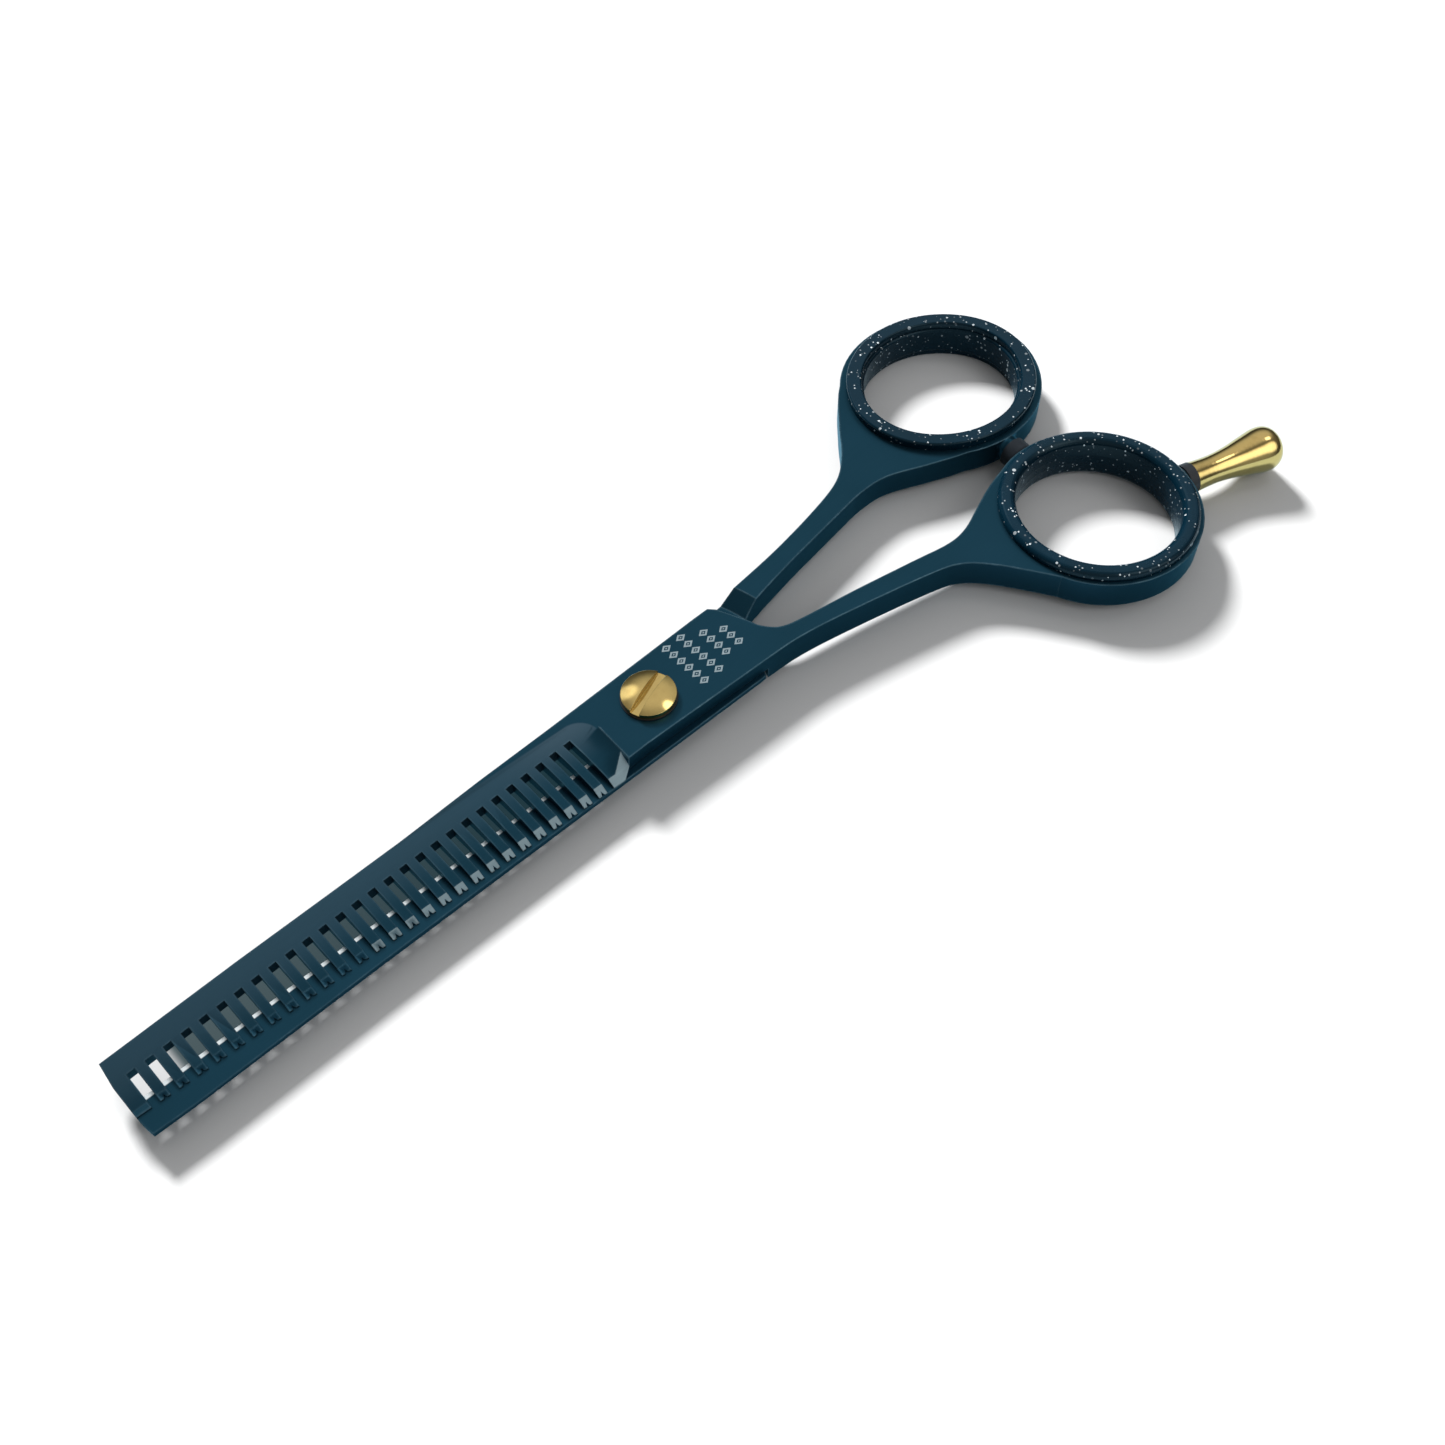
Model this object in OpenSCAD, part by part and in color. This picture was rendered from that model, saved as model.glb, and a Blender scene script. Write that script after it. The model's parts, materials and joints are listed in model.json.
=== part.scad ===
// Thinning shears, closed, screw head up.
// Origin: middle of the finger hole. +X towards the blade tips, +Z out of the screw's head.
// The modules are drawn from the pivot axis at the mating plane, and placed() moves them.

/* [Blades] */
// Distance from the pivot to the blade tips
tip_x = 65.6; // [60:0.2:70]
// Thickness of the toothed half
toothed_t = 2.0; // [1.8:0.1:2.4]
// Thickness of the plain half
plain_t = 1.85; // [1.7:0.05:2.2]
// Gap between the two halves
ride_gap = 0.06; // [0.04:0.01:0.1]
// Radius of the convex grind on the toothed blade
grind_r = 30; // [26:1:40]

/* [Teeth] */
// Number of slots cut in the toothed blade
slot_count = 28; // [20:1:30]
// Distance from one slot to the next
slot_pitch = 1.976; // [1.8:0.01:2.0]
// Width of one slot
slot_w = 0.9; // [0.7:0.05:1.1]
// Distance from the pivot to the slot nearest the heel
first_slot_x = 10.3; // [10:0.1:10.5]
// Half width of the notch in each tooth tip
notch_half = 0.19; // [0.12:0.01:0.25]
// Depth of the notch in each tooth tip
notch_depth = 0.45; // [0.3:0.05:0.7]

/* [Handles] */
// Lowest level of the finger handle
finger_low = -1.6; // [-1.8:0.1:-1.2]
// Top level of the thumb handle
thumb_top = 1.4; // [1.2:0.1:1.6]
// Outer radius of the finger ring
finger_ring_r = 12.45; // [12.3:0.05:12.8]
// Half length of the oval thumb ring
thumb_ring_a = 13.6; // [13.5:0.1:14]

/* [Finger inserts] */
// Radius of the finger hole
finger_hole_r = 9.65; // [9.4:0.05:9.8]
// Radius of the groove that grips the finger ring
groove_r = 11.0; // [10.9:0.05:11.1]
// Radius of the insert's lips
lip_r = 11.95; // [11.8:0.05:12.1]
// Height of each lip above the metal
lip_h = 1.05; // [0.8:0.05:1.2]

/* [Pivot] */
// Radius of the screw's shoulder
shoulder_r = 1.9; // [1.7:0.05:2.0]
// Radius of the screw's head
head_r = 3.1; // [2.9:0.05:3.3]
// Height of the screw's head
head_h = 1.2; // [1.0:0.1:1.4]
// Direction of the slot in the screw's head
slot_turn = 17.7; // [0:0.1:90]

/* [Finger rest] */
// Length of the finger rest outside its collar
rest_len = 12.5; // [11:0.5:14]
// Direction of the finger rest seen from the ring's centre
rest_turn = 162; // [158:1:166]

/* [Hidden] */
$fn = 72;
eps = 0.02;
fit = 0.03;
loose = 0.05;
big = 60;

coat = "#2B4552";
gold = "#C9A544";
black = "#141618";
glitter = "#0B2A40";

toothed_low = ride_gap / 2;
plain_high = -ride_gap / 2;
// Straight lines of the two cutting edges, as [y at the heel, y at the tip]
tooth_heel = [8.4, 5.25];
tooth_tip_y = 0.95;
edge_heel = [8.6, 0.75];
edge_tip_y = -0.5;
tooth_turn = atan2(tooth_tip_y - tooth_heel.y, tip_x - tooth_heel.x);
edge_turn = atan2(edge_tip_y - edge_heel.y, tip_x - edge_heel.x);
tooth_bevel_turn = 40;
tooth_heel_gap = 1.25;
slot_root = -1.95;
slot_root_fall = 0.033;

// Convex grind of the toothed blade, in the frame of its tooth tips
grind_reach = 8.2;
grind_drop = 0.22;
grind_tip_fall = 0.25;
grind_corner = [1.45, -6.1];
grind_corner_r = 2.9;
grind_wall_h = grind_corner_r * tan(31);

// Underside of the plain blade
edge_land = 0.12;
edge_bevel_turn = 38;
plain_tip_spine_y = 3.3;
spine_wall = 0.6;
flank_turn = 40;
ramp_r = 16.3;
ramp_out_r = 18.6;

finger_ring_c = [-57.05, 17.1];
thumb_ring_c = [-60.7, -10.8];
thumb_ring_tilt = 3.4;
ride_r = 13.6;
ride_clear = 0.5;

// Oval that the thumb ring and its insert follow: four arcs, told by its lips
oval_a = 12.8;
oval_b = 11.85;
oval_c = 2.2;
oval_s = oval_b - oval_a + oval_c;
oval_d = (oval_c * oval_c - oval_s * oval_s) / (2 * oval_s);
oval_end_r = oval_a - oval_c;
oval_side_r = oval_b + oval_d;
oval_turn = atan2(oval_d, oval_c);
thumb_ring_grow = thumb_ring_a - oval_a;
lip_step = 0.35;
lip_step_h = 0.9;
groove_in = lip_r - groove_r;
hole_in = lip_r - finger_hole_r;

washer_t = 0.15;
washer_out = 0.12;
washer_air = 0.08;
shoulder_end = 0.4;
screw_end_gap = 0.1;
bush_r = 2.5;
socket_r = 2.4;
socket_flange_r = 3.0;
socket_flange_t = 0.5;
socket_air = 0.12;
spanner_r = 0.3;
spanner_depth = 0.35;
spanner_out = 2.25;
thread_r = 1.45;
glide_r = 4.2;
glide_t = 0.25;
stud_r = 0.95;
stud_air = 0.1;
collar_r = 1.98;
collar_in = 12.6;
collar_out = 13.85;
rest_boss_r = 1.75;
finger_mid = (toothed_t + finger_low) / 2;
thumb_mid = (thumb_top - plain_t) / 2;

bumper_axis = finger_ring_c - thumb_ring_c;
bumper_turn = atan2(bumper_axis.y, bumper_axis.x);
thumb_ring_b = oval_b + thumb_ring_grow;
ring_gap = norm(bumper_axis) - finger_ring_r - thumb_ring_b;
bumper_boss_h = 0.9;
bumper_boss_r = 1.6;
bumper_r = 1.9;
bumper_stem_r = 0.8;
bumper_air = 0.04;

// ---------- curves ----------

// Smooth curve through points, n steps for each stretch
function curve(p, n) = [
    for (i = [0 : len(p) - 2])
        let (a = p[max(i - 1, 0)], b = p[i], c = p[i + 1], d = p[min(i + 2, len(p) - 1)])
            for (j = [0 : n - 1])
                let (t = j / n)
                    0.5 * (2 * b + (c - a) * t + (2 * a - 5 * b + 4 * c - d) * t * t
                        + (3 * b - a - 3 * c + d) * t * t * t),
    p[len(p) - 1]
];

// Points on a circle
function arc(c, r, from, to, n) = [
    for (i = [0 : n]) let (a = from + (to - from) * i / n) c + r * [cos(a), sin(a)]
];

// Moves its children from the pivot's frame to the part's frame
module placed() {
    translate([-finger_ring_c.x, -finger_ring_c.y, -finger_mid]) children();
}

// Solid that fills the thumb ring's oval, moved out by grow
module oval_plug(grow, low, high) {
    end_r = oval_end_r + grow;
    side_r = oval_side_r + grow;
    span = 2 * (oval_c + end_r * cos(oval_turn));
    translate([thumb_ring_c.x, thumb_ring_c.y, low]) rotate(thumb_ring_tilt) {
        for (s = [-1, 1]) translate([s * oval_c, 0, 0]) cylinder(h = high - low, r = end_r);
        intersection() {
            translate([0, -oval_d, 0]) cylinder(h = high - low, r = side_r);
            translate([0, oval_d, 0]) cylinder(h = high - low, r = side_r);
            translate([-span / 2, -big / 2, 0]) cube([span, big, high - low]);
        }
    }
}

// Puts its children on the finger rest's axis, at a distance from the ring's centre
module on_rest_axis(distance) {
    translate([finger_ring_c.x, finger_ring_c.y, finger_mid]) rotate([0, 0, rest_turn])
        translate([distance, 0, 0]) rotate([0, 90, 0]) children();
}

// Puts its children on the bumper's axis, at a distance from the thumb ring's edge
module on_bumper_axis(distance) {
    translate([thumb_ring_c.x, thumb_ring_c.y, thumb_mid]) rotate([0, 0, bumper_turn])
        translate([thumb_ring_b + distance, 0, 0]) rotate([0, 90, 0]) children();
}

// ---------- toothed half ----------

// Blade, ricasso and shank. The outline closes inside the finger ring.
function toothed_outline() = concat(
    [[tip_x - 0.2, -5.42], [tip_x + 0.1, -2.5], [tip_x + 0.1, tooth_tip_y], tooth_heel, [6.9, 4.42]],
    curve([[4, 4.45], [-5, 5.0], [-12.5, 5.4], [-18, 5.88], [-25, 7.4], [-35, 10.06],
           [-38.7, 11.6], [-41.2, 14.3], [-43.2, 17.5], [-45.2, 21]], 5),
    [finger_ring_c],
    curve([[-54.5, 4.95], [-50.5, 5.8], [-47, 6.95], [-43.2, 8.25], [-40, 8.42], [-35, 7.3],
           [-27, 5.5], [-20, 4.1], [-17.2, 3.2], [-15.75, 1.55], [-15.25, 0.1], [-14.45, -2.0],
           [-13.75, -3.75]], 5),
    [[-13.1, -4.5]],
    curve([[-11, -4.55], [10, -4.53], [30, -4.75], [50, -5.22]], 3));

// Waste above the convex outer face of the blade, leaving the flat ricasso
module blade_grind() {
    length = tip_x + 10;
    width = 12;
    top = toothed_t + eps;
    wall = [[0, 0], [-grind_corner_r, 0], [0, -grind_wall_h]];
    translate([tooth_heel.x, tooth_heel.y, 0]) rotate(tooth_turn) difference() {
        // rounded corner of the ground area, its two sloping walls, and its floor space
        translate([grind_corner.x, grind_corner.y, top]) {
            translate([0, 0, -grind_wall_h]) cylinder(h = grind_wall_h, r1 = 0, r2 = grind_corner_r);
            rotate([90, 0, 90]) linear_extrude(length) polygon(wall);
            translate([0, width, 0]) rotate([90, 0, 0]) linear_extrude(width) polygon(wall);
            translate([0, 0, -grind_wall_h]) cube([length, width, grind_wall_h]);
        }
        translate([-20, -grind_reach, toothed_t - grind_drop - grind_r])
            rotate([0, 90 + atan2(grind_tip_fall, tip_x), 0])
                cylinder(h = length + 40, r = grind_r, $fn = 360);
    }
}

// Waste above the bevel on the tips of the teeth
module tooth_bevel() {
    translate([tooth_heel.x, tooth_heel.y, toothed_low]) rotate(tooth_turn)
        rotate([-tooth_bevel_turn, 0, 0]) translate([-tooth_heel_gap, -5, 0]) cube([tip_x, 10, 4]);
}

// Slots between the teeth, and the small notch in the tip of each tooth
module tooth_cuts() {
    slot_l = 10;
    translate([0, 0, -1]) linear_extrude(4) {
        for (i = [0 : slot_count - 1])
            translate([first_slot_x + i * slot_pitch - slot_w / 2, slot_root - slot_root_fall * i])
                square([slot_w, slot_l]);
        for (i = [0 : slot_count - 2]) {
            x = first_slot_x + (i + 0.5) * slot_pitch;
            translate([x, tooth_heel.y + tan(tooth_turn) * (x - tooth_heel.x)])
                polygon([[-1.5 * notch_half, 0.5 * notch_depth], [0, -notch_depth],
                         [1.5 * notch_half, 0.5 * notch_depth]]);
        }
    }
}

module toothed_half() {
    handle_t = toothed_t - finger_low;
    color(coat) placed() difference() {
        union() {
            translate([0, 0, finger_low]) linear_extrude(handle_t) polygon(toothed_outline());
            translate([finger_ring_c.x, finger_ring_c.y, finger_low])
                cylinder(h = handle_t, r = finger_ring_r);
            on_rest_axis(groove_r) cylinder(h = collar_in - groove_r, r = rest_boss_r);
        }
        // room under the blade and ricasso for the plain half
        translate([0, 0, toothed_low - 5]) cylinder(h = 5, r = ride_r + ride_clear, $fn = 180);
        translate([-16.2, -8, toothed_low - 5]) cube([big, 9.2, 5]);
        translate([-10, -8, toothed_low - 5]) cube([2 * big, 20, 5]);
        blade_grind();
        tooth_bevel();
        tooth_cuts();
        translate([0, 0, -1]) cylinder(h = 4, r = bush_r);
        translate([finger_ring_c.x, finger_ring_c.y, -3]) cylinder(h = 6, r = groove_r);
        on_rest_axis(groove_r - 2) cylinder(h = 6, r = stud_r + loose);
    }
}

// ---------- plain half ----------

// Blade, ricasso and shank. The outline closes inside the thumb ring.
function plain_outline() = concat(
    [[tip_x + 0.1, edge_tip_y], [tip_x + 0.1, 1.5], [tip_x - 0.15, 3.3]],
    curve([[61, 3.62], [40, 4.1], [20, 4.72], [0, 5.46], [-11.4, 5.9]], 3),
    arc([0, 0], ride_r, 154.5, 176, 8),
    curve([[-14.3, -0.3], [-16, -1.3], [-18.5, -1.95], [-25.4, -3.1], [-35.4, -4.4],
           [-39.5, -4.8], [-43.5, -4.4], [-48.5, -2.15], [-52.5, -0.45], [-56.5, 0.85]], 5),
    [thumb_ring_c],
    curve([[-54, -21.35], [-50, -18.75], [-45.5, -14.35], [-42.2, -10.85], [-38.6, -8.35],
           [-33.4, -6.95], [-25.4, -5.68], [-18, -5.0]], 5),
    curve([[-14, -4.85], [-8, -4.4], [0, -4.3], [4, -3.6], [7, -0.6]], 4),
    [edge_heel]);

// Waste under the bevel that makes the cutting edge
module edge_bevel() {
    translate([edge_heel.x, edge_heel.y, plain_high - edge_land]) rotate(edge_turn)
        rotate([-edge_bevel_turn, 0, 0]) translate([0, -6, -5]) cube([big + 5, 12, 5]);
}

// Waste under the slanted flank along the spine
module spine_bevel() {
    spine_turn = atan2(plain_tip_spine_y - 5.9, tip_x + 11.4);
    translate([tip_x, plain_tip_spine_y, plain_high - spine_wall]) rotate(180 + spine_turn)
        rotate([-flank_turn, 0, 0]) translate([-1, -6, -5]) cube([tip_x + 20, 12, 5]);
}

module plain_half() {
    handle_t = thumb_top + plain_t;
    color(coat) placed() difference() {
        union() {
            translate([0, 0, -plain_t]) linear_extrude(handle_t) polygon(plain_outline());
            oval_plug(thumb_ring_grow, -plain_t, thumb_top);
            on_bumper_axis(-1) cylinder(h = 1 + bumper_boss_h, r = bumper_boss_r);
        }
        // everything above the mating plane, out to a ramp behind the ricasso
        translate([0, 0, plain_high]) cylinder(h = thumb_top - plain_high + eps, r1 = ramp_r,
            r2 = ramp_out_r, $fn = 180);
        translate([-5, -10, plain_high]) cube([2 * big, 20, 5]);
        edge_bevel();
        spine_bevel();
        translate([0, 0, plain_high - glide_t - fit]) cylinder(h = 1, r = glide_r + fit);
        translate([0, 0, -plain_t - 1]) cylinder(h = 3, r = socket_r);
        translate([0, 0, -plain_t - 1]) cylinder(h = 1 + socket_flange_t, r = socket_flange_r);
        oval_plug(-groove_in, -4, 4);
        on_bumper_axis(-1.9) cylinder(h = 4, r = bumper_stem_r + loose);
    }
}

// ---------- pivot ----------

module pivot_screw() {
    dome_r = 9;
    slot_cut_w = 1.15;
    slot_depth = 0.85;
    base = toothed_t + washer_t;
    edge_h = head_h - (dome_r - sqrt(dome_r * dome_r - head_r * head_r));
    color(gold) placed() difference() {
        union() {
            intersection() {
                translate([0, 0, base]) cylinder(h = head_h, r = head_r);
                translate([0, 0, base + head_h - dome_r]) sphere(r = dome_r, $fn = 144);
            }
            translate([0, 0, -shoulder_end]) cylinder(h = base + shoulder_end + edge_h / 2, r = shoulder_r);
            translate([0, 0, -plain_t + screw_end_gap]) cylinder(h = plain_t, r = thread_r);
        }
        translate([0, 0, base + head_h - slot_depth]) rotate(slot_turn)
            translate([-head_r - 1, -slot_cut_w / 2, 0]) cube([2 * head_r + 2, slot_cut_w, 2]);
    }
}

module tube(low, high, outer, inner) {
    translate([0, 0, low]) difference() {
        cylinder(h = high - low, r = outer);
        translate([0, 0, -1]) cylinder(h = high - low + 2, r = inner);
    }
}

module screw_washer() {
    color(black) placed()
        tube(toothed_t, toothed_t + washer_t, head_r + washer_out, shoulder_r + washer_air);
}

module pivot_bush() {
    color("#B8BDC0") placed() tube(toothed_low, toothed_t - eps, bush_r, shoulder_r + loose);
}

module glide_washer() {
    color("#E8E8E2") placed()
        tube(plain_high - glide_t, plain_high + eps, glide_r, shoulder_r + washer_air);
}

module screw_socket() {
    top = plain_high - glide_t - socket_air;
    color("#9EA4A8") placed() difference() {
        union() {
            tube(-plain_t, -plain_t + socket_flange_t, socket_flange_r, thread_r + loose);
            tube(-plain_t, top, socket_r, thread_r + loose);
        }
        for (s = [-1, 1]) translate([s * spanner_out, 0, -plain_t - 1])
            cylinder(h = 1 + spanner_depth, r = spanner_r, $fn = 24);
    }
}

// ---------- inserts, finger rest, bumper ----------

// Section of the finger insert, measured from the ring's axis: two rounded lips and a groove
function insert_section(low, high) =
    let (r_out = 0.75, r_in = 0.95, in = finger_hole_r + 0.15 + r_in, top = high + lip_h,
         base = low - lip_h, mid = (low + high) / 2)
    concat(
        [[finger_hole_r, mid - 0.6], [finger_hole_r, mid + 0.6]],
        arc([in, top - r_in], r_in, 180, 90, 6),
        arc([lip_r - r_out, top - r_out], r_out, 90, 0, 6),
        [[lip_r, high + fit], [groove_r - fit, high + fit],
         [groove_r - fit, low - fit], [lip_r, low - fit]],
        arc([lip_r - r_out, base + r_out], r_out, 0, -90, 6),
        arc([in, base + r_in], r_in, -90, -180, 6));

module finger_insert() {
    color(glitter) placed() translate([finger_ring_c.x, finger_ring_c.y, 0])
        rotate_extrude($fn = 96) polygon(insert_section(finger_low, toothed_t));
}

module thumb_insert() {
    top = thumb_top + lip_h;
    base = -plain_t - lip_h;
    color(glitter) placed() difference() {
        union() {
            oval_plug(0, thumb_top + fit, top);
            oval_plug(-groove_in - fit, base, top);
            oval_plug(0, base, -plain_t - fit);
        }
        oval_plug(-hole_in, base - 1, top + 1);
        oval_plug(-hole_in + lip_step, top - lip_step_h, top + 1);
        oval_plug(-hole_in + lip_step, base - 1, base + lip_step_h);
    }
}

module finger_rest() {
    body = curve([[1.93, 0], [1.8, 3.0], [2.0, 5.6], [2.5, 8.3], [2.84, 10.2], [2.75, 11.4],
                  [2.2, 12.2], [1.3, rest_len]], 5);
    stud_l = collar_out - groove_r - stud_air;
    color(gold) placed() on_rest_axis(collar_out) rotate_extrude()
        polygon(concat([[0, -stud_l], [stud_r, -stud_l], [stud_r, 0]], body, [[0, rest_len]]));
}

module rest_collar() {
    length = collar_out - collar_in - eps;
    color(black) placed() on_rest_axis(collar_in + eps / 2) difference() {
        cylinder(h = length, r = collar_r);
        translate([0, 0, -1]) cylinder(h = length + 2, r = stud_r + loose);
    }
}

module bumper() {
    height = ring_gap - bumper_boss_h - bumper_air;
    stem = 2.4;
    edge = 0.5;
    color(black) placed() on_bumper_axis(bumper_boss_h) rotate_extrude($fn = 48)
        polygon(concat(
            [[0, -stem], [bumper_stem_r, -stem], [bumper_stem_r, eps], [bumper_r, eps]],
            arc([bumper_r - edge, height - edge], edge, 0, 90, 4),
            [[0, height]]));
}

toothed_half();
plain_half();
pivot_screw();
screw_washer();
pivot_bush();
glide_washer();
screw_socket();
finger_insert();
thumb_insert();
finger_rest();
rest_collar();
bumper();
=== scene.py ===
import json
import math

import bmesh
import bpy
from mathutils import Matrix, Vector

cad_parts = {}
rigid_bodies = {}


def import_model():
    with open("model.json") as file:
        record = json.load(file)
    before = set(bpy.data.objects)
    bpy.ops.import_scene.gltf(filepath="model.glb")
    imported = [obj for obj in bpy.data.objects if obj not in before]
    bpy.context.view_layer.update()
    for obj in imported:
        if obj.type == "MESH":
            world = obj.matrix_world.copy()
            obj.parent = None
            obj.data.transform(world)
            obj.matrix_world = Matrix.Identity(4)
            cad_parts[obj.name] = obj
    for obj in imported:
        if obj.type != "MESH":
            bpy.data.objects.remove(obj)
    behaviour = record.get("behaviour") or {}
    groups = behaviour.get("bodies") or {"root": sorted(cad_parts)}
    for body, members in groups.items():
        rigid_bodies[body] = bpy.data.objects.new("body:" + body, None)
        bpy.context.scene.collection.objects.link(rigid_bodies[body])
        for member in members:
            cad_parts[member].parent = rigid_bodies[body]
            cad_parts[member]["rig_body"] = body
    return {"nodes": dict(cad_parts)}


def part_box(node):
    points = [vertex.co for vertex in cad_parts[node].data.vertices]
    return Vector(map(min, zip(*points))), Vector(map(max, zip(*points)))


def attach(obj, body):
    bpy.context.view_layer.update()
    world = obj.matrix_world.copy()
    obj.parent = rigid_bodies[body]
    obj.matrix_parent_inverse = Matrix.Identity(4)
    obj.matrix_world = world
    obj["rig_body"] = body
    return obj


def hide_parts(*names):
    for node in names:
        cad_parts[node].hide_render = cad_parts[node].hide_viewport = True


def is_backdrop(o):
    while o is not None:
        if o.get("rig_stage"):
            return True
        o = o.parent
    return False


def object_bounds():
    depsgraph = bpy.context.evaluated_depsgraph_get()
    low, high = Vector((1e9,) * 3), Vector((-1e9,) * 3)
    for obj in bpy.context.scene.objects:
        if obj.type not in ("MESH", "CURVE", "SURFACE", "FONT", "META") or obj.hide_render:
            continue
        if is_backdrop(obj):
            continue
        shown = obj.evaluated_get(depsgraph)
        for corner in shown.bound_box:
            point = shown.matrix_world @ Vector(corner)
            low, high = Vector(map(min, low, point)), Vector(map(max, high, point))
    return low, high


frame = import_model()
SIZE = {"cad": [list(v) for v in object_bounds()]}
NODES = frame["nodes"]
MM = 0.001


# ---------------------------------------------------------------- places, from the frame

def middle(box):
    return (box[0] + box[1]) / 2


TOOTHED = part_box("toothed_half")
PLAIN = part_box("plain_half")
FINGER_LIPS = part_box("finger_insert")
RING_F = middle(FINGER_LIPS)
RING_T = middle(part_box("thumb_insert"))
LIP_R = (FINGER_LIPS[1].x - FINGER_LIPS[0].x) / 2
PIVOT = middle(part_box("pivot_bush"))
PIVOT.z = 0.0
FLOOR_Z = SIZE["cad"][0][2]
TOP_Z = TOOTHED[1].z
MATING_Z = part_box("glide_washer")[1].z


def at_x(distance):
    """The x of a place so many mm from the pivot, towards the blade tips."""
    return PIVOT.x + distance * MM


def at_y(distance):
    """The y of a place so many mm from the pivot, towards the cutting edge of the toothed blade."""
    return PIVOT.y + distance * MM


def add_object(name, data):
    ob = bpy.data.objects.new(name, data)
    bpy.context.scene.collection.objects.link(ob)
    return ob


# ---------------------------------------------------------------- node helpers

class Graph:
    """Short names for building a node tree."""

    def __init__(self, tree, output):
        tree.nodes.clear()
        self.tree = tree
        self.output = self.n(output)

    def n(self, kind, **values):
        """A new node. A value goes to the input of that name or, if there is none, to the setting."""
        node = self.tree.nodes.new("ShaderNode" + kind)
        for key, value in values.items():
            if key in node.inputs:
                node.inputs[key].default_value = value
            else:
                setattr(node, key, value)
        return node

    def put(self, value, socket):
        """Links another node's output to the socket, or sets the socket to a plain value."""
        if hasattr(value, "is_output"):
            self.tree.links.new(value, socket)
        else:
            socket.default_value = value

    def finish(self, shader):
        self.put(shader, self.output.inputs[0])

    def place(self):
        return self.n("TexCoord").outputs["Object"]

    def split(self, vector):
        node = self.n("SeparateXYZ")
        self.put(vector, node.inputs[0])
        return node.outputs

    def dot(self, a, b):
        node = self.n("VectorMath", operation="DOT_PRODUCT")
        self.put(a, node.inputs[0])
        self.put(b, node.inputs[1])
        return node.outputs["Value"]

    def math(self, op, *values):
        node = self.n("Math", operation=op)
        for value, socket in zip(values, node.inputs):
            self.put(value, socket)
        return node.outputs[0]

    def times(self, first, *others):
        for value in others:
            first = self.math("MULTIPLY", first, value)
        return first

    def scaled(self, value, gain, offset):
        return self.math("ADD", self.math("MULTIPLY", value, gain), offset)

    def ramp(self, value, start, end):
        """A smooth step from 0 at start to 1 at end. It falls if end is the smaller."""
        node = self.n("MapRange", interpolation_type="SMOOTHSTEP")
        self.put(value, node.inputs["Value"])
        self.put(start, node.inputs["From Min"])
        self.put(end, node.inputs["From Max"])
        return node.outputs[0]

    def mix(self, f, a, b):
        """Colour a where f is 0 and colour b where f is 1."""
        node = self.n("Mix", data_type="RGBA")
        self.put(f, node.inputs[0])
        self.put(a, node.inputs[6])
        self.put(b, node.inputs[7])
        return node.outputs[2]

    def blend(self, f, a, b):
        """Shader a where f is 0 and shader b where f is 1."""
        node = self.n("MixShader")
        self.put(f, node.inputs[0])
        self.put(a, node.inputs[1])
        self.put(b, node.inputs[2])
        return node.outputs[0]

    def noise(self, scale, detail, vector, rough=0.5):
        node = self.n("TexNoise", Scale=scale, Detail=detail, Roughness=rough)
        self.put(vector, node.inputs["Vector"])
        return node.outputs["Fac"]

    def stretched(self, vector, scale):
        node = self.n("Mapping", Scale=scale)
        self.put(vector, node.inputs["Vector"])
        return node.outputs[0]

    def rounded(self, radius):
        """The normal of a surface whose edges are rounded."""
        return self.n("Bevel", samples=4, Radius=radius).outputs[0]

    def bump(self, height, strength, distance, normal=None):
        node = self.n("Bump", Strength=strength, Distance=distance)
        self.put(height, node.inputs["Height"])
        if normal is not None:
            self.put(normal, node.inputs["Normal"])
        return node.outputs[0]

    def principled(self, colour, rough, normal, **others):
        """The material's shader. Other inputs are named with _ for each space."""
        shader = self.n("BsdfPrincipled")
        self.put(colour, shader.inputs["Base Color"])
        self.put(rough, shader.inputs["Roughness"])
        self.put(normal, shader.inputs["Normal"])
        for name, value in others.items():
            self.put(value, shader.inputs[name.replace("_", " ")])
        self.finish(shader.outputs[0])


def new_material(name, swatch):
    m = bpy.data.materials.new(name)
    m.use_nodes = True
    m.diffuse_color = swatch
    return m, Graph(m.node_tree, "OutputMaterial")


def rgb(text):
    """Linear colour from a hex sRGB one."""
    c = [int(text[i:i + 2], 16) / 255 for i in (0, 2, 4)]
    return [x / 12.92 if x < 0.04045 else ((x + 0.055) / 1.055) ** 2.4 for x in c] + [1.0]


# ---------------------------------------------------------------- materials

def ornament_mask(g, place):
    """Four rows of small diamonds, each with a dot in it, etched on the ricasso behind the screw."""
    half_step = 0.62 * MM
    squash = 0.75
    outline, hollow, dot_size = 0.52 * MM, 0.27 * MM, 0.11 * MM
    depth = 0.05 * MM
    x, y, z = g.split(place)
    total = 0.0
    # each row: distance from the pivot in x and, for its first diamond, in y, then how many
    for row_x, first_y, count in ((-5.9, -3.6, 6), (-8.1, -3.6, 6), (-10.4, -2.3, 4), (-12.4, -1.1, 3)):
        dx = g.math("ABSOLUTE", g.math("SUBTRACT", x, at_x(row_x)))
        along = g.math("SUBTRACT", y, at_y(first_y))
        diamond = g.math("ADD", g.times(dx, squash), g.math("PINGPONG", along, half_step))
        inside = g.math("LESS_THAN", diamond, outline)
        rim = g.times(inside, g.math("GREATER_THAN", diamond, hollow))
        shape = g.math("MAXIMUM", rim, g.math("LESS_THAN", diamond, dot_size))
        in_row = g.math("COMPARE", along, (count - 1) * half_step, count * half_step)
        total = g.math("MAXIMUM", total, g.times(shape, in_row))
    return g.times(total, g.math("GREATER_THAN", z, TOP_Z - depth))


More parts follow.
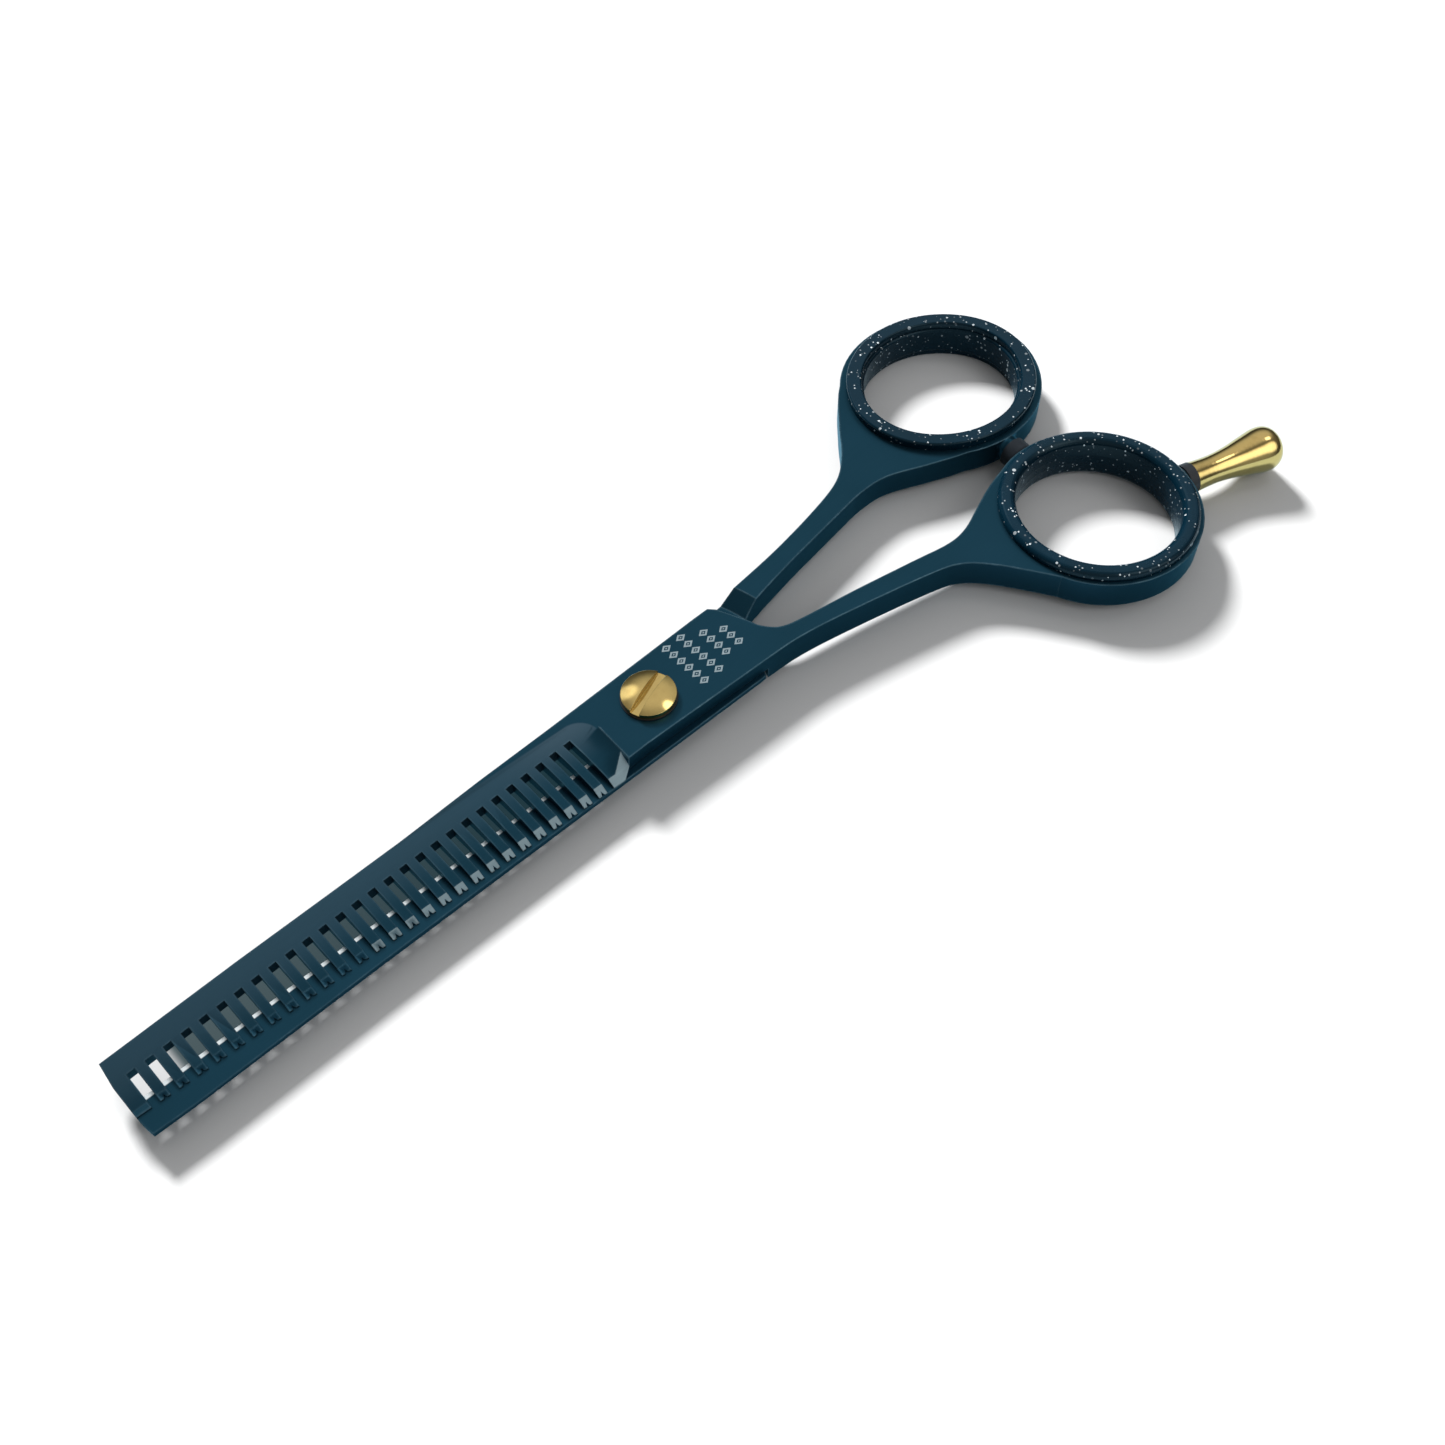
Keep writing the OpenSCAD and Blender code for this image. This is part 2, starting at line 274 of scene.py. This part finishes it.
def honed_mask(g, place):
    """The bright ride line, honed along the plain blade's cutting edge on its inner face."""
    full, gone = 0.36 * MM, 0.5 * MM
    heel = Vector((at_x(8.6), at_y(0.75), 0))
    tip = Vector((PLAIN[1].x, at_y(-0.5), 0))
    along = (tip - heel).normalized()
    across = Vector((-along.y, along.x, 0))
    distance = g.math("SUBTRACT", g.dot(place, across), heel.dot(across))
    x, _, z = g.split(place)
    strip = g.ramp(distance, gone, full)
    blade = g.math("GREATER_THAN", x, at_x(8))
    top = g.math("GREATER_THAN", z, MATING_Z - 0.06 * MM)
    return g.times(strip, blade, top)


def worn_and_highlit_edges(g, place):
    """Painted highlight lines along the edges, partly rubbed wear, where a widely rounded normal leaves
    the true one. Fainter along the blade.
    """
    edge = g.ramp(g.dot(g.rounded(0.3 * MM), g.n("NewGeometry").outputs["Normal"]), 0.998, 0.95)
    rubbed = g.ramp(g.noise(420.0, 4.0, place, 0.7), 0.42, 0.7)
    blade = g.ramp(g.split(place)[0], at_x(9), at_x(11))
    return g.times(edge, g.scaled(rubbed, 0.3, 0.3), g.scaled(blade, -0.65, 1.0))


def painted_sheen_on_ground(g, place):
    """Painted sheen on the face ground below the ricasso, paler towards the spine and most of all at
    its heel.
    """
    x, y, z = g.split(place)
    facing_x = g.split(g.n("NewGeometry").outputs["Normal"])[0]
    spine = g.ramp(y, at_y(2.0), at_y(-3.5))
    heel = g.ramp(x, at_x(20), at_x(8))
    below = g.ramp(z, TOP_Z - 0.1 * MM, TOP_Z - 0.2 * MM)
    not_wall = g.ramp(facing_x, 0.35, 0.15)
    return g.times(spine, below, not_wall, g.math("ADD", heel, 0.8))


def coating(name, toothed):
    """Satin teal coating. The toothed half has the ornament, the plain half the ride line."""
    m, g = new_material(name, rgb("1B4052"))
    place = g.place()
    fine = g.noise(2600.0, 4.0, place, 0.6)
    brushed = g.noise(6.0, 5.0, g.stretched(place, (40.0, 900.0, 900.0)), 0.65)
    base = g.mix(g.noise(90.0, 2.0, place), rgb("102E3B"), rgb("163747"))
    base = g.mix(g.times(brushed, 0.35), base, rgb("1F3D4C"))
    if toothed:
        # painted sheen on the ground face, paler towards the spine and at the heel
        base = g.mix(g.times(painted_sheen_on_ground(g, place), 0.3), base, rgb("4A5C68"))
    # painted highlight lines along the edges, partly rubbed wear
    base = g.mix(worn_and_highlit_edges(g, place), base, rgb("6F8C98"))
    rough = g.scaled(fine, 0.14, 0.28)
    if toothed:
        etched = g.times(ornament_mask(g, place), g.scaled(fine, 0.5, 0.45))
        base = g.mix(etched, base, rgb("A9B9BF"))
        rough = g.math("ADD", rough, g.times(etched, 0.2))
    else:
        base = g.mix(honed_mask(g, place), base, rgb("DCE3E5"))
    height = g.math("ADD", g.times(fine, 0.6), g.times(brushed, 0.8))
    normal = g.bump(height, 0.25, 0.004 * MM, g.rounded(0.1 * MM))
    g.principled(base, rough, normal, Metallic=0.75, Specular_IOR_Level=0.3,
                 Specular_Tint=(0.35, 0.8, 1.0, 1.0))
    return m


def metal(name, colour, dark, rough_low, rough_span, stretch, bump=0.3):
    """Bare or plated metal, with machining lines that run the way the noise is stretched."""
    m, g = new_material(name, colour)
    place = g.place()
    brushed = g.noise(5.0, 5.0, g.stretched(place, stretch), 0.7)
    spots = g.ramp(g.noise(900.0, 3.0, place), 0.5, 0.75)
    base = g.mix(g.times(spots, 0.12), colour, dark)
    base = g.mix(g.times(brushed, 0.2), base, dark)
    normal = g.bump(brushed, bump, 0.004 * MM, g.rounded(0.1 * MM))
    g.principled(base, g.scaled(brushed, rough_span, rough_low), normal, Metallic=1.0)
    return m


def plain_material(name, colour, rough, grain, bump, specular=0.4):
    """Plastic or rubber with a fine grain and slightly uneven colour."""
    m, g = new_material(name, colour)
    place = g.place()
    fine = g.noise(grain, 4.0, place, 0.6)
    uneven = g.noise(grain / 12, 2.0, place)
    lighter = [min(1, c * 1.7 + 0.01) for c in colour[:3]] + [1]
    base = g.mix(g.times(uneven, 0.5), colour, lighter)
    normal = g.bump(fine, bump, 0.02 * MM)
    g.principled(base, g.scaled(fine, 0.2, rough), normal, Specular_IOR_Level=specular)
    return m


def glitter_plastic(name):
    """Dark glossy plastic with small silver flecks of several sizes, some bright and some dim."""
    m, g = new_material(name, rgb("0B2A40"))
    place = g.place()
    flecks = 0.0
    tone = 0.0
    # each size of fleck: how many cells to the metre, its radius in a cell, share of empty cells
    for scale, radius, empty in ((900.0, 0.21, 0.87), (1500.0, 0.22, 0.83), (2600.0, 0.28, 0.80)):
        cells = g.n("TexVoronoi", feature="F1", Scale=scale, Randomness=1.0)
        g.put(place, cells.inputs["Vector"])
        chance = g.n("SeparateColor")
        g.put(cells.outputs["Color"], chance.inputs[0])
        near = g.math("LESS_THAN", cells.outputs["Distance"], radius)
        fleck = g.times(near, g.math("GREATER_THAN", chance.outputs[0], empty))
        glint = g.math("POWER", chance.outputs[1], 2.0)
        flecks = g.math("MAXIMUM", flecks, fleck)
        tone = g.math("MAXIMUM", tone, g.times(fleck, g.scaled(glint, 0.85, 0.1)))
    body = g.mix(g.noise(160.0, 2.0, place), rgb("02121B"), rgb("031C29"))
    fine = g.noise(1500.0, 3.0, place)
    g.principled(g.mix(tone, body, rgb("D5DEE2")), g.scaled(fine, 0.12, 0.2),
                 g.bump(fine, 0.12, 0.02 * MM), Metallic=g.times(flecks, 0.35),
                 Specular_IOR_Level=0.2, Specular_Tint=(0.5, 0.85, 1.0, 1.0),
                 Coat_Weight=0.04, Coat_Roughness=0.12)
    return m


COAT_TOP = coating("teal_coating_etched", toothed=True)
COAT = coating("teal_coating", toothed=False)
BARE = metal("ground_steel", rgb("6C7B80"), rgb("4C5A60"), rough_low=0.34, rough_span=0.2,
             stretch=(60.0, 1500.0, 1500.0))
STEEL = metal("turned_steel", rgb("A9AEB2"), rgb("6E7478"), rough_low=0.22, rough_span=0.15,
              stretch=(1500.0, 1500.0, 200.0))
GOLD = metal("polished_gold", rgb("CFB573"), rgb("86632A"), rough_low=0.07, rough_span=0.1,
             stretch=(700.0, 700.0, 700.0), bump=0.15)
GLIDE = plain_material("white_glide_plastic", rgb("D8D8D0"), rough=0.4, grain=3000.0, bump=0.2)
BLACK = plain_material("black_plastic", rgb("101317"), rough=0.4, grain=3000.0, bump=0.25)
RUBBER = plain_material("black_rubber", rgb("0D1217"), rough=0.55, grain=4000.0, bump=0.5, specular=0.3)
GLITTER = glitter_plastic("glitter_plastic")


# ---------------------------------------------------------------- pieces

def cleaned(node):
    """The CAD node's mesh with flat areas joined into single faces."""
    weld = 0.002 * MM
    flat_within = math.radians(0.6)
    bm = bmesh.new()
    bm.from_mesh(node.data)
    bmesh.ops.remove_doubles(bm, verts=bm.verts, dist=weld)
    bmesh.ops.dissolve_limit(bm, angle_limit=flat_within, verts=bm.verts, edges=bm.edges,
                             use_dissolve_boundaries=False)
    bm.normal_update()
    return bm


def rim_edges(bm, z, facing, keep):
    """Edges at height z between a steep wall and a flat face that looks up, for facing 1, or down,
    for facing -1, and whose middle passes keep."""
    level, flat, steep = 0.004 * MM, 0.99, 0.3
    found = []
    for e in bm.edges:
        if len(e.link_faces) != 2 or any(abs(v.co.z - z) > level for v in e.verts):
            continue
        wall, face = sorted(f.normal.z * facing for f in e.link_faces)
        if face > flat and abs(wall) < steep and keep((e.verts[0].co + e.verts[1].co) / 2):
            found.append(e)
    return found


def round_off(bm, edges, width, segments):
    if edges:
        bmesh.ops.bevel(bm, geom=edges, offset=width, offset_type="OFFSET", segments=segments,
                        profile=0.5, affect="EDGES", clamp_overlap=True, material=-1)
        bm.normal_update()


def finished(node_name, piece_name, bm, materials, crease, chooser=lambda face: 0):
    """The mesh as a piece in place of a CAD node. Edges sharper than crease degrees stay sharp."""
    for f in bm.faces:
        f.smooth = True
        f.material_index = chooser(f)
    mesh = bpy.data.meshes.new(piece_name)
    bm.to_mesh(mesh)
    bm.free()
    mesh.set_sharp_from_angle(angle=math.radians(crease))
    for m in materials:
        mesh.materials.append(m)
    piece = add_object(piece_name, mesh)
    weighted = piece.modifiers.new("even_normals", "WEIGHTED_NORMAL")
    weighted.keep_sharp = True
    weighted.weight = 80
    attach(piece, NODES[node_name]["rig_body"])
    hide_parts(node_name)


def away(place, centre, r):
    return (place.xy - centre.xy).length > r


def toothed_half():
    """The toothed half with its outer edges rounded, and bare steel on the bevel of its teeth from
    the heel to about half way."""
    past_bush = 3 * MM
    under_round, upper_round, segments = 0.85 * MM, 0.2 * MM, 5
    bm = cleaned(NODES["toothed_half"])
    outside = lambda m: away(m, RING_F, LIP_R) and away(m, PIVOT, past_bush)
    off_blade = lambda m: outside(m) and m.x < at_x(5)
    round_off(bm, rim_edges(bm, TOOTHED[0].z, -1, outside), under_round, segments)
    round_off(bm, rim_edges(bm, TOOTHED[1].z, 1, off_blade), upper_round, segments)
    # the line along the tooth tips, from their heel to the blade tip, and the way their bevel faces
    heel_x, fall, bevel_turn = at_x(8.4), 4.3 * MM, math.radians(40)
    tip_line = Vector((TOOTHED[1].x - heel_x, -fall, 0)).normalized()
    across = Vector((-tip_line.y, tip_line.x, 0))
    slant = across * math.sin(bevel_turn) + Vector((0, 0, math.cos(bevel_turn)))
    bare_from, bare_to = at_x(6), at_x(40)

    def bare(face):
        on_bevel = face.normal.dot(slant) > 0.995
        return int(on_bevel and bare_from < face.calc_center_median().x < bare_to)

    finished("toothed_half", "toothed_half_finished", bm, [COAT_TOP, BARE], 21, bare)


def plain_half():
    """The plain half with the outer edges of its ring and shank rounded."""
    under_round, upper_round, segments = 1.0 * MM, 0.2 * MM, 5
    bm = cleaned(NODES["plain_half"])
    outside = lambda m: away(m, RING_T, LIP_R + 0.4 * MM) and m.x < at_x(-10)
    round_off(bm, rim_edges(bm, PLAIN[0].z, -1, outside), under_round, segments)
    round_off(bm, rim_edges(bm, PLAIN[1].z, 1, outside), upper_round, segments)
    finished("plain_half", "plain_half_finished", bm, [COAT], 21)


def thumb_insert():
    """The oval insert with its lips rounded."""
    lips_from, lip_round, segments = 1.7 * MM, 0.38 * MM, 4
    bm = cleaned(NODES["thumb_insert"])
    sharp = [e for e in bm.edges if len(e.link_faces) == 2
             and e.calc_face_angle_signed() > math.radians(30)
             and max(abs(v.co.z - RING_T.z) for v in e.verts) > lips_from]
    round_off(bm, sharp, lip_round, segments)
    finished("thumb_insert", "thumb_insert_rounded", bm, [GLITTER], 32)


def dress(name, material, crease=32):
    """Gives a CAD node its material. Edges sharper than crease degrees stay sharp."""
    node = NODES[name]
    node.data.materials.clear()
    node.data.materials.append(material)
    node.data.set_sharp_from_angle(angle=math.radians(crease))


toothed_half()
plain_half()
dress("pivot_screw", GOLD, crease=25)
dress("finger_rest", GOLD, crease=40)
dress("screw_washer", BLACK)
dress("rest_collar", BLACK)
dress("bumper", RUBBER, crease=40)
dress("pivot_bush", STEEL)
dress("screw_socket", STEEL)
dress("glide_washer", GLIDE)
dress("finger_insert", GLITTER, crease=40)
thumb_insert()


# ---------------------------------------------------------------- floor, light, camera

def painted_shade_under_blades(g, x, y):
    """Where painted shade goes on the floor: 1 under the blades, falling to 0 past the heel and both
    sides.
    """
    heel = g.ramp(x, at_x(4), at_x(8))
    tip = g.ramp(x, TOOTHED[1].x - 4.8 * MM, TOOTHED[1].x - 6.4 * MM)
    near = g.ramp(y, at_y(-5.1), at_y(-4.5))
    far = g.ramp(y, at_y(1.5), at_y(0))
    return g.times(heel, g.scaled(tip, 0.8, 0.2), near, far)


def floor():
    """A pale floor, with painted shade where it is closed in under the blades and seen through the
    slots.
    Reflections see another, bluer floor, also with painted shade under the blades, and from below the
    camera sees through it."""
    half_side = 3.0
    gap = 0.02 * MM
    bm = bmesh.new()
    bmesh.ops.create_grid(bm, x_segments=1, y_segments=1, size=half_side)
    mesh = bpy.data.meshes.new("floor")
    bm.to_mesh(mesh)
    bm.free()
    ob = add_object("floor", mesh)
    ob.location = (0, 0, FLOOR_Z - gap)
    m, g = new_material("pale_floor_with_painted_shade", (0.8, 0.8, 0.8, 1))
    openness = g.n("AmbientOcclusion", samples=24, Distance=8 * MM).outputs["AO"]
    x, y, _ = g.split(g.place())
    blades = painted_shade_under_blades(g, x, y)
    # painted shade under the blades: darkest at the heel, lighter towards the tip
    towards_tip = g.ramp(x, at_x(10), TOOTHED[1].x)
    shade = g.mix(towards_tip, (0.008, 0.022, 0.028, 1), (0.042, 0.06, 0.065, 1))
    seen = g.n("BsdfDiffuse")
    reflected = g.n("BsdfDiffuse")
    # the painted shade lies where the floor is closed in under the blades
    painted_shade_amount = g.times(g.ramp(openness, 0.8, 0.62), blades)
    g.put(g.mix(painted_shade_amount, (0.5, 0.5, 0.5, 1), shade), seen.inputs["Color"])
    # the floor that reflections see is bluer, with painted shade under the blades
    g.put(g.mix(blades, (0.42, 0.52, 0.57, 1), (0.04, 0.07, 0.08, 1)), reflected.inputs["Color"])
    to_camera = g.n("LightPath").outputs["Is Camera Ray"]
    from_below = g.times(g.n("NewGeometry").outputs["Backfacing"], to_camera)
    above = g.blend(to_camera, reflected.outputs[0], seen.outputs[0])
    g.finish(g.blend(from_below, above, g.n("BsdfTransparent").outputs[0]))
    mesh.materials.append(m)
    ob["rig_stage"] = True


def sun():
    """A soft sun, which stays out of reflections."""
    rise = math.radians(34)
    toward = Vector((-0.25 * math.cos(rise), -0.97 * math.cos(rise), math.sin(rise)))
    data = bpy.data.lights.new("key", "SUN")
    data.energy = 9.5
    data.angle = math.radians(13)
    ob = add_object("key", data)
    ob.rotation_mode = "QUATERNION"
    ob.rotation_quaternion = (-toward).to_track_quat("-Z", "Y")
    ob.visible_glossy = False
    ob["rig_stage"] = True


def world():
    """A dim sky with soft bright patches to reflect. The camera sees a plain pale backdrop."""
    w = bpy.data.worlds.new("studio")
    bpy.context.scene.world = w
    w.use_nodes = True
    g = Graph(w.node_tree, "OutputWorld")
    direction = g.n("TexCoord").outputs["Generated"]
    up = g.ramp(g.split(direction)[2], 0.0, 0.9)
    level = g.scaled(up, 0.15, 0.08)
    # each patch: its direction, the degrees from it where it starts to fade and ends, its strength
    for toward, inner, outer, strength in (((-0.4, -0.37, 0.84), 14, 42, 0.6),
                                           ((-0.2, 0.72, 0.66), 12, 27, 2.0),
                                           ((-0.44, 0.11, 0.89), 5, 9, 3.0),
                                           ((-0.08, -0.74, 0.67), 6, 14, 1.2),
                                           ((0.55, 0.75, 0.35), 15, 65, 0.4)):
        nearness = g.dot(direction, Vector(toward).normalized())
        patch = g.ramp(nearness, math.cos(math.radians(outer)), math.cos(math.radians(inner)))
        level = g.math("ADD", level, g.times(patch, strength))
    sky = g.n("Background")
    g.put(g.mix(up, (0.82, 0.9, 0.95, 1), (1, 1, 1, 1)), sky.inputs["Color"])
    g.put(level, sky.inputs["Strength"])
    backdrop = g.n("Background", Color=(0.9, 0.9, 0.9, 1))
    to_camera = g.n("LightPath").outputs["Is Camera Ray"]
    g.finish(g.blend(to_camera, sky.outputs[0], backdrop.outputs[0]))


def camera():
    """The camera, turned by its own three axes and placed from the top of the pivot."""
    data = bpy.data.cameras.new("camera")
    data.sensor_width = 36.0
    data.lens = 37.12
    data.clip_start, data.clip_end = 0.01, 10
    ob = add_object("camera", data)
    right = Vector((-0.71812, 0.69553, -0.02319))
    up = Vector((-0.57757, -0.57709, 0.57739))
    back = Vector((0.38821, 0.42803, 0.81614))
    turn = Matrix((right, up, back)).transposed().to_4x4()
    from_pivot = Vector((0.0590976, 0.0769488, 0.131194))
    ob.matrix_world = Matrix.Translation(Vector((PIVOT.x, PIVOT.y, TOP_Z)) + from_pivot) @ turn
    bpy.context.scene.camera = ob


floor()
world()
sun()
camera()
bpy.context.scene.view_settings.view_transform = "Standard"
bpy.context.scene.view_settings.look = "None"

SIZE["visual"] = [list(v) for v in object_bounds()]
